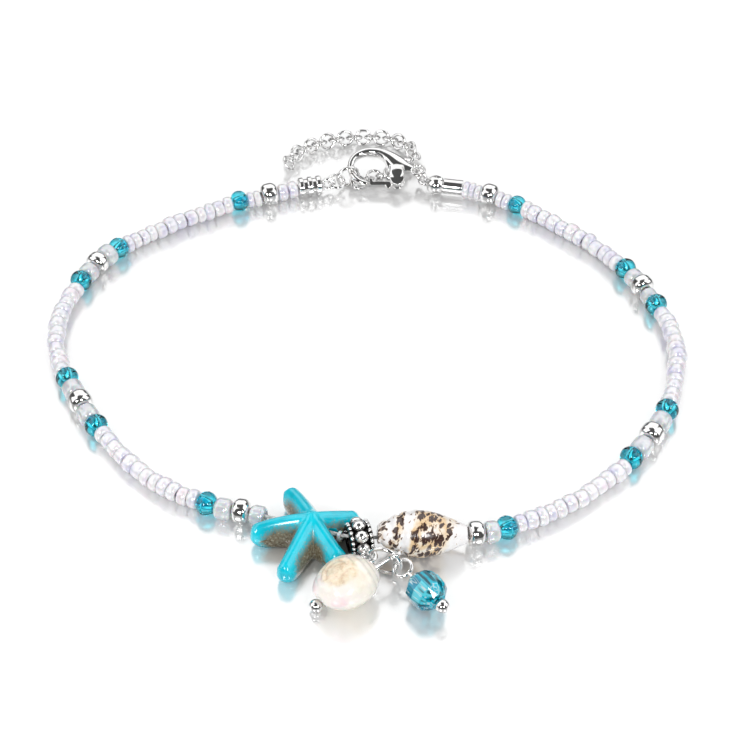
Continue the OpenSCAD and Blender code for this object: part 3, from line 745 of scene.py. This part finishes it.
def arm_top(x, y, reach):
    """Height above the rim, and how far a place on an arm is in the hollow beside its ridge"""
    if x <= 0:
        return 0.0, 1.0
    mid = reach - ARM_TIP_W
    over = max(0.0, x - mid) / ARM_TIP_W
    half = ARM_ROOT_W - ARM_TAPER * min(x, mid)
    ridge = (STAR_H - STAR_RIM_Z) * (1 - RIDGE_FALL * min(1, x / mid)) * math.sqrt(max(0.0, 1 - over * over))
    share = min(1.0, abs(y) / half)
    return ridge * (1 - share**2) ** 0.75, share * min(1.0, max(0.0, (reach - x) / CLEAN_TIP_L)) ** 0.7


def star_top(x, y):
    """Height above the rim where all arms are joined, and how far the place is in a hollow"""
    total, best, flank = 0.0, -1.0, 1.0
    for turn, reach in STAR_ARMS:
        t = math.radians(turn)
        top, share = arm_top(x * math.cos(t) + y * math.sin(t), y * math.cos(t) - x * math.sin(t), reach)
        total += top**16
        if top > best:
            best, flank = top, share
    return total ** (1 / 16), flank


# Half width of an arm and the steps along it, by which the angles round the star are spread
ARM_HALF_W = 1.5
ARM_STEP = 0.4
ARM_STEPS = 12


def star_angles():
    """Angles round the star, closer together where its edge runs along an arm"""
    edge = [math.degrees(math.asin(ARM_HALF_W / (ARM_REACH - ARM_STEP * k))) for k in range(ARM_STEPS)]
    half = [*range(ARM_STEPS)] + edge
    angles = []
    for i, (turn, _) in enumerate(STAR_ARMS):
        before = (turn - STAR_ARMS[i - 1][0]) % 360 / 2
        after = (STAR_ARMS[(i + 1) % 5][0] - turn) % 360 / 2
        angles += [turn - h for h in reversed(half) if 0 < h < before - 0.5] + [turn - before]
        angles += [turn + h for h in half if h < after - 0.5]
    return [math.radians(v) for v in sorted(set(round(v % 360, 3) for v in angles))]


DRILL_SEGMENTS = 32


def drilled(obj, start, end, d):
    """Cuts a straight round hole from one point to another, in millimetres"""
    start, end = Vector(start) * MM, Vector(end) * MM
    mesh = bpy.data.meshes.new("drill")
    bm = bmesh.new()
    turn = (end - start).to_track_quat("Z", "Y").to_matrix().to_4x4()
    r = d * MM / 2
    place = Matrix.Translation((start + end) / 2) @ turn
    bmesh.ops.create_cone(bm, cap_ends=True, segments=DRILL_SEGMENTS, radius1=r, radius2=r,
                          depth=(end - start).length, matrix=place)
    bm.to_mesh(mesh)
    bm.free()
    drill = link_object("drill", mesh)
    cut = obj.modifiers.new("drill", "BOOLEAN")
    cut.operation = "DIFFERENCE"
    cut.solver = "EXACT"
    cut.object = drill
    done = bpy.data.meshes.new_from_object(obj.evaluated_get(bpy.context.evaluated_depsgraph_get()))
    obj.modifiers.remove(cut)
    old = obj.data
    obj.data = done
    bpy.data.meshes.remove(old)
    bpy.data.objects.remove(drill)
    bpy.data.meshes.remove(mesh)


def thread_span(kind, extra):
    """The two points between which the thread crosses a charm"""
    row = rows_of(kind)[0]
    return strand.place(STARTS[row] - extra), strand.place(STARTS[row] + STRINGING[row][2] + extra)


# Rings of the star's lower side, from its middle outwards: share of its reach, height
STAR_LOW = [(0.3, 0.16), (0.75, 0.11), (0.86, 0.14), (0.94, 0.45), (0.985, 0.95), (1.0, 1.3)]
STAR_TOP_STEPS = 22
# Over 1, the rings of the upper side lie closer together at its edge
STAR_TOP_SPREAD = 1.25
# Share of the reach at which the last of them lies
STAR_TOP_INNER = 0.03
# Share of the reach at which the lower side reads how worn the stone is
STAR_NEAR_EDGE = 0.97


def starfish(material):
    angles = star_angles()
    verts, flank = [], []

    def add_point(r, a, z, worn):
        x, y = star_swirl(r * math.cos(a), r * math.sin(a))
        verts.append((STAR_AT[0] + x, STAR_AT[1] + y, z))
        flank.append(worn)

    for share, z in STAR_LOW:
        for a in angles:
            near = STAR_NEAR_EDGE * star_edge(a)
            add_point(share * star_edge(a), a, z, star_top(near * math.cos(a), near * math.sin(a))[1])
    for k in range(STAR_TOP_STEPS + 1):
        share = 1 - (k / STAR_TOP_STEPS) ** STAR_TOP_SPREAD * (1 - STAR_TOP_INNER)
        for a in angles:
            r = share * star_edge(a)
            top, worn = star_top(r * math.cos(a), r * math.sin(a))
            add_point(r, a, STAR_RIM_Z + (top if k else 0), worn)
    rings = len(STAR_LOW) + STAR_TOP_STEPS + 1
    faces = ring_faces(rings, len(angles)) + end_faces(rings, len(angles))
    stone = {"flank": flank}
    piece = new_piece("starfish_charm", verts, faces, material, attributes=stone)
    drilled(piece, *thread_span("star", extra=1), BORE_D)
    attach(piece, ROOT_BODY)
    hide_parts("starfish")


# The shell

SHELL_L = 10.1
SHELL_D = 5.4
SHELL_DIP = 4
SHELL_LIFT = 0.36
SPIRE_L = 3.6
WHORL_PITCH = 1.25
# Distance along the shell, share of its widest radius
SHELL_PROFILE = [
    (0, 0.38), (0.5, 0.5), (1.2, 0.64), (2, 0.79), (3, 0.92), (4, 0.99), (5, 1),
    (6, 0.95), (7, 0.85), (8, 0.72), (9, 0.56), (9.7, 0.45), (10.1, 0.4),
]
# Height of the steps between whorls and depth of the seam, as shares of the shell's radius
WHORL_STEP = 0.06
SEAM_DEPTH = 0.03
SEAM_SHARPNESS = 2.2
# Where the steps have faded out, and where the seam starts to and has
STEP_END = 1.4 * SPIRE_L
SEAM_FADE = (4.4, 5.0)


def smooth_lookup(x, table):
    """A value between a table's rows, on a smooth curve"""
    k = max(0, min(len(table) - 2, sum(1 for row in table if row[0] <= x) - 1))
    rows = [table[max(0, k - 1)], table[k], table[k + 1], table[min(len(table) - 1, k + 2)]]
    (xb, b), (xc, c) = rows[1], rows[2]
    t = (x - xb) / (xc - xb)
    slope_b = (c - rows[0][1]) / (xc - rows[0][0]) * (xc - xb)
    slope_c = (rows[3][1] - b) / (rows[3][0] - xb) * (xc - xb)
    return ((2 * t**3 - 3 * t**2 + 1) * b + (t**3 - 2 * t**2 + t) * slope_b
            + (3 * t**2 - 2 * t**3) * c + (t**3 - t**2) * slope_c)


def shell_radius(x, a):
    """Radius of the shell at a distance along it and a turn about it"""
    step = math.sin(math.tau * x / WHORL_PITCH - a)
    step_share = max(0.0, 1 - x / STEP_END)
    seam_share = max(0.0, min(1.0, (SEAM_FADE[1] - x) / (SEAM_FADE[1] - SEAM_FADE[0])))
    seam = SEAM_DEPTH * seam_share * bell(step, -1, 1 / SEAM_SHARPNESS)
    return SHELL_D / 2 * (smooth_lookup(x, SHELL_PROFILE) * (1 + WHORL_STEP * step_share * step) - seam)


SHELL_RINGS = 110
SHELL_SIDES = 84
SHELL_YAW = -2
# Millimetres round the shell for a turn of one radian
SHELL_GIRTH = 2.3


def shell_place():
    """From the shell's own place, along x from its spire, to the row's frame"""
    row = rows_of("shell")[0]
    s = STARTS[row] + (STRINGING[row][2] - SHELL_L) / 2
    start, end = strand.place(s), strand.place(s + SHELL_L)
    way = end - start
    return (Matrix.Translation((start.x, start.y, SHELL_D / 2 + SHELL_LIFT))
            @ Matrix.Rotation(math.atan2(way.y, way.x) + math.radians(SHELL_YAW), 4, "Z")
            @ Matrix.Rotation(math.radians(SHELL_DIP), 4, "Y"))


def sea_shell(material):
    place = shell_place()
    verts, along, around = [], [], []
    for k in range(SHELL_RINGS):
        x = SHELL_L * k / (SHELL_RINGS - 1)
        for j in range(SHELL_SIDES):
            a = -j * math.tau / SHELL_SIDES
            r = shell_radius(x, a)
            verts.append(place @ Vector((x, r * math.cos(a), r * math.sin(a))))
            along.append(x)
            # Measured from the top, so that its ends meet underneath
            around.append(SHELL_GIRTH * ((a - math.pi / 2 + math.pi) % math.tau - math.pi))
    faces = ring_faces(SHELL_RINGS, SHELL_SIDES) + end_faces(SHELL_RINGS, SHELL_SIDES)
    marks = {"along": along, "around": around}
    piece = new_piece("sea_shell", verts, faces, material, attributes=marks)
    drilled(piece, *thread_span("shell", extra=0.5), BORE_D)
    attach(piece, ROOT_BODY)
    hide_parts("shell")


# The two drops

# Half sizes of the pearl along its pin, across it and upwards
PEARL_HALF = (3.75, 3.2, 2.7)
PEARL_AT = (-2.1, -42.1, 2.6)
PEARL_BALL = (-5.4, -44.0, 0.82)
PEARL_EYE = (3.3, -38.9, 3.6)
PIN_HOLE_D = 0.76
# Turn about the pin and rise from its middle of the pearl's dent and worn patch: where and reach, in degrees
DENT_TURN = (65, 40)
DENT_RISE = (-25, 26)
PATCH_TURN = (78, 50)
PATCH_RISE = (-18, 44)
# Ripples lie in a ring round the patch, at a share of its reach, and folds towards one end
RIPPLE_RING = (0.55, 0.42)
FOLD_RISE = (40, 30)
# Depth and heights as shares of the pearl's size
DENT_DEPTH = 0.09
RIPPLE_H = 0.028
FOLD_H = 0.010
LUMP_H = 0.022


def pearl_radius(a, b):
    """Radius of the baroque form at a turn about the pin and a rise from its middle, both in degrees"""
    ra, rb = math.radians(a), math.radians(b)
    r = 1 + 0.05 * math.cos(2 * ra + math.radians(40)) * math.cos(rb)
    r += 0.045 * math.sin(ra - math.radians(30)) * math.cos(rb) + 0.03 * math.sin(3 * rb) * math.cos(ra)
    return r - DENT_DEPTH * bell(b, *DENT_RISE) * bell(a, *DENT_TURN)


PEARL_RINGS = 72
PEARL_SIDES = 72
# Rise of the pearl's first and last ring, in degrees; its ends are flat, where the pin comes out
PEARL_TOP = 84


def pearl_drop(material):
    way = Vector(PEARL_EYE) - Vector(PEARL_BALL)
    turn = Matrix.Rotation(math.atan2(way.y, way.x), 3, "Z")
    along, across, upwards = PEARL_HALF
    verts, worn = [], []
    for k in range(PEARL_RINGS):
        b = PEARL_TOP * (2 * k / (PEARL_RINGS - 1) - 1)
        for j in range(PEARL_SIDES):
            a = 180 - j * 360 / PEARL_SIDES
            r = pearl_radius(a, b)
            ra, rb = math.radians(a), math.radians(b)
            p = Vector((r * math.sin(rb) * along, r * math.cos(rb) * math.cos(ra) * across,
                        r * math.cos(rb) * math.sin(ra) * upwards))
            patch = math.hypot((b - PATCH_RISE[0]) / PATCH_RISE[1], (a - PATCH_TURN[0]) / PATCH_TURN[1])
            ripple = RIPPLE_H * math.sin(20 * patch + 2.5 * noise.noise(p * 0.9)) * bell(patch, *RIPPLE_RING)
            fold = FOLD_H * math.sin(0.42 * b + 3.2 * math.sin(ra)) * bell(b, *FOLD_RISE)
            p *= 1 + ripple + fold + LUMP_H * noise.noise(p * 0.55)
            verts.append(turn @ p + Vector(PEARL_AT))
            worn.append(max(0.0, 1.25 - patch) + 0.25 * noise.noise(p * 1.1))
    faces = ring_faces(PEARL_RINGS, PEARL_SIDES) + end_faces(PEARL_RINGS, PEARL_SIDES)
    piece = new_piece("baroque_pearl", verts, faces, material, attributes={"worn": worn})
    drilled(piece, PEARL_BALL, PEARL_EYE, PIN_HOLE_D)
    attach(piece, ROOT_BODY)
    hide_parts("pearl")


CRYSTAL_BALL = (8.45, -45.35, 2.35)
CRYSTAL_EYE = (4.2, -39.5, 2.1)
CRYSTAL_AXIS = (Vector(CRYSTAL_EYE) - Vector(CRYSTAL_BALL)).normalized()
CRYSTAL_D = 4.3
CRYSTAL_L = 4.1
CRYSTAL_GAP = 0.05
PIN_BALL_D = 1.6
# Place along the crystal in half lengths, share of its widest radius, and turn in half sides
CRYSTAL_CUT = [(-1, 0.5, 1), (-0.55, 0.94, 0), (0, 1, 0), (0.55, 0.94, 0), (1, 0.5, 1)]
CRYSTAL_SIDES = 10


def cut_crystal(material):
    side, up = frame_along(CRYSTAL_AXIS)
    middle = Vector(CRYSTAL_BALL) + CRYSTAL_AXIS * (PIN_BALL_D / 2 + CRYSTAL_L / 2 + CRYSTAL_GAP)
    n = CRYSTAL_SIDES
    verts = []
    for x, share, turn in CRYSTAL_CUT:
        ring = middle + CRYSTAL_AXIS * (x * CRYSTAL_L / 2)
        r = share * CRYSTAL_D / 2
        for j in range(n):
            a = -math.tau * (j + turn / 2) / n
            verts.append(ring + side * (r * math.cos(a)) + up * (r * math.sin(a)))
    quads = ring_faces(len(CRYSTAL_CUT), n)
    faces = quads[n:-n]
    # The first and the last row of facets are triangles, as their rings are turned
    for a, b, c, d in quads[:n]:
        faces += [(a, b, c), (a, c, d)]
    for a, b, c, d in quads[-n:]:
        faces += [(a, b, d), (b, c, d)]
    faces += end_faces(len(CRYSTAL_CUT), n)
    piece = new_piece("cut_crystal", verts, faces, material, smooth=False)
    drilled(piece, CRYSTAL_BALL, CRYSTAL_EYE, PIN_HOLE_D)
    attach(piece, ROOT_BODY)
    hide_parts("crystal")


# The bail and the clasp

BAIL_R = 1.6
BAIL_L = 2.7
BAIL_TURN = math.radians(15)
BAIL_AXIS = Vector((math.cos(BAIL_TURN), math.sin(BAIL_TURN), 0))
# Radii between which the bail goes from dark to bright
BAIL_HOLLOW = (1.93, 2.28)
GRANULES = 8
GRANULE_TURN = math.radians(-5)
GRANULE_RISE = 0.05
# Half sizes of a large granule along the bail, round it and outwards
GRANULE_HALF = (0.86, 0.77, 0.79)
GRANULE_SEGMENTS = 28
RIM_GRANULES = 18
RIM_GRANULE_HALF = (0.26, 0.26, 0.26)
RIM_GRANULE_SEGMENTS = 14
RIM_RISE = 0.16
RIM_INSET = 0.28


def bail_granules(name, granules, half, segments, slot, materials):
    """Granules of one size on the bail: for each its turn, place along the bail and rise over it"""
    middle = row_middle("bail")
    side, up = frame_along(BAIL_AXIS)
    mesh = bpy.data.meshes.new(name)
    bm = bmesh.new()
    for a, x, rise in granules:
        out = side * math.sin(a) + up * math.cos(a)
        place = Matrix((BAIL_AXIS, out.cross(BAIL_AXIS), out)).transposed().to_4x4()
        place.translation = (middle + BAIL_AXIS * x + out * (BAIL_R + rise)) * MM
        ball(bm, place, half, segments)
    bm.to_mesh(mesh)
    bm.free()
    piece = dressed(link_object(name, mesh), materials[slot])
    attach(piece, ROOT_BODY)


def dress_bail(materials):
    large = [(GRANULE_TURN + math.tau * k / GRANULES, 0, GRANULE_RISE) for k in range(GRANULES)]
    small = [(math.tau * k / RIM_GRANULES, end * (BAIL_L / 2 - RIM_INSET), RIM_RISE)
             for end in (-1, 1) for k in range(RIM_GRANULES)]
    bail_granules("bail_granules", large, GRANULE_HALF, GRANULE_SEGMENTS, "dark_silver", materials)
    bail_granules("bail_rim_granules", small, RIM_GRANULE_HALF, RIM_GRANULE_SEGMENTS, "silver", materials)


# The clasp's own place; its tilt is about x and its turn about z
CLASP_AT = (1.9, 34.9, 2.35)
CLASP_TILT = math.radians(24)
CLASP_TURN = math.radians(-5)
# Middle of the low dome on the clasp's cheek, in the clasp's own place, and its half sizes
DOME_AT = (2.42, -0.75, 0.88)
DOME_HALF = (1.0, 1.1, 0.22)
DOME_SEGMENTS = 32
EASE_VOXEL = 0.07
EASE_SHARE = 0.5
EASE_STEPS = 10


def add_dome(mesh):
    """A low dome on the clasp's cheek, which the remeshing joins to it"""
    place = (Matrix.Translation(Vector(CLASP_AT) * MM) @ Matrix.Rotation(CLASP_TURN, 4, "Z")
             @ Matrix.Rotation(CLASP_TILT, 4, "X") @ Matrix.Translation(Vector(DOME_AT) * MM))
    bm = bmesh.new()
    bm.from_mesh(mesh)
    ball(bm, place, DOME_HALF, DOME_SEGMENTS)
    bm.to_mesh(mesh)
    bm.free()


def eased_copy(node, name, body, material, domed=False):
    """A solid's shape with its edges rounded over, as cast metal has them"""
    source = nodes[node]
    mesh = source.data.copy()
    mesh.transform(source.matrix_world)
    if domed:
        add_dome(mesh)
    obj = link_object(name, mesh)
    remesh = obj.modifiers.new("remesh", "REMESH")
    remesh.mode = "VOXEL"
    remesh.voxel_size = EASE_VOXEL * MM
    ease = obj.modifiers.new("ease", "SMOOTH")
    ease.factor = EASE_SHARE
    ease.iterations = EASE_STEPS
    done = bpy.data.meshes.new_from_object(obj.evaluated_get(bpy.context.evaluated_depsgraph_get()))
    obj.modifiers.clear()
    obj.data = done
    bpy.data.meshes.remove(mesh)
    dressed(obj, material)
    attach(obj, body)
    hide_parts(node)


# Dressing of the solids and the whole scene

SLOTS = {
    "thread": thread_material,
    "white_glass": white_glass,
    "aqua_glass": aqua_glass,
    "clear_glass": clear_glass,
    "silver": silver,
    "dark_silver": dark_silver,
    "turquoise_stone": turquoise_stone,
    "shell": shell_material,
    "pearl": pearl_material,
    "crystal_glass": crystal_glass,
}


def dress_nodes(materials):
    for entry in frame["record"]["subparts"]:
        obj = nodes[entry["node"]]
        obj.data.materials.clear()
        obj.data.materials.append(materials[entry["material_slot"]])


# Half the floor's side, in metres
FLOOR_HALF = 1.5


def add_floor():
    mesh = bpy.data.meshes.new("floor")
    corners = [(x * FLOOR_HALF, y * FLOOR_HALF, 0) for x, y in ((-1, -1), (1, -1), (1, 1), (-1, 1))]
    mesh.from_pydata(corners, [], [(0, 1, 2, 3)])
    mesh.materials.append(floor_material())
    link_object("floor", mesh)


add_camera()
add_lights()
add_floor()
materials = {name: make() for name, make in SLOTS.items()}
dress_nodes(materials)
seed_strings(materials["white_glass"])
for kind, slot in (("aqua", "aqua_glass"), ("clear", "clear_glass"), ("silver", "silver")):
    for n, row in enumerate(rows_of(kind), 1):
        strung_bead(kind, n, row, materials[slot])
starfish(materials["turquoise_stone"])
sea_shell(materials["shell"])
pearl_drop(materials["pearl"])
cut_crystal(materials["crystal_glass"])
dress_bail(materials)
eased_copy("clasp_body", "clasp_body_cast", "anklet", materials["silver"], domed=True)
eased_copy("clasp_lever", "clasp_lever_cast", "lever", materials["silver"])
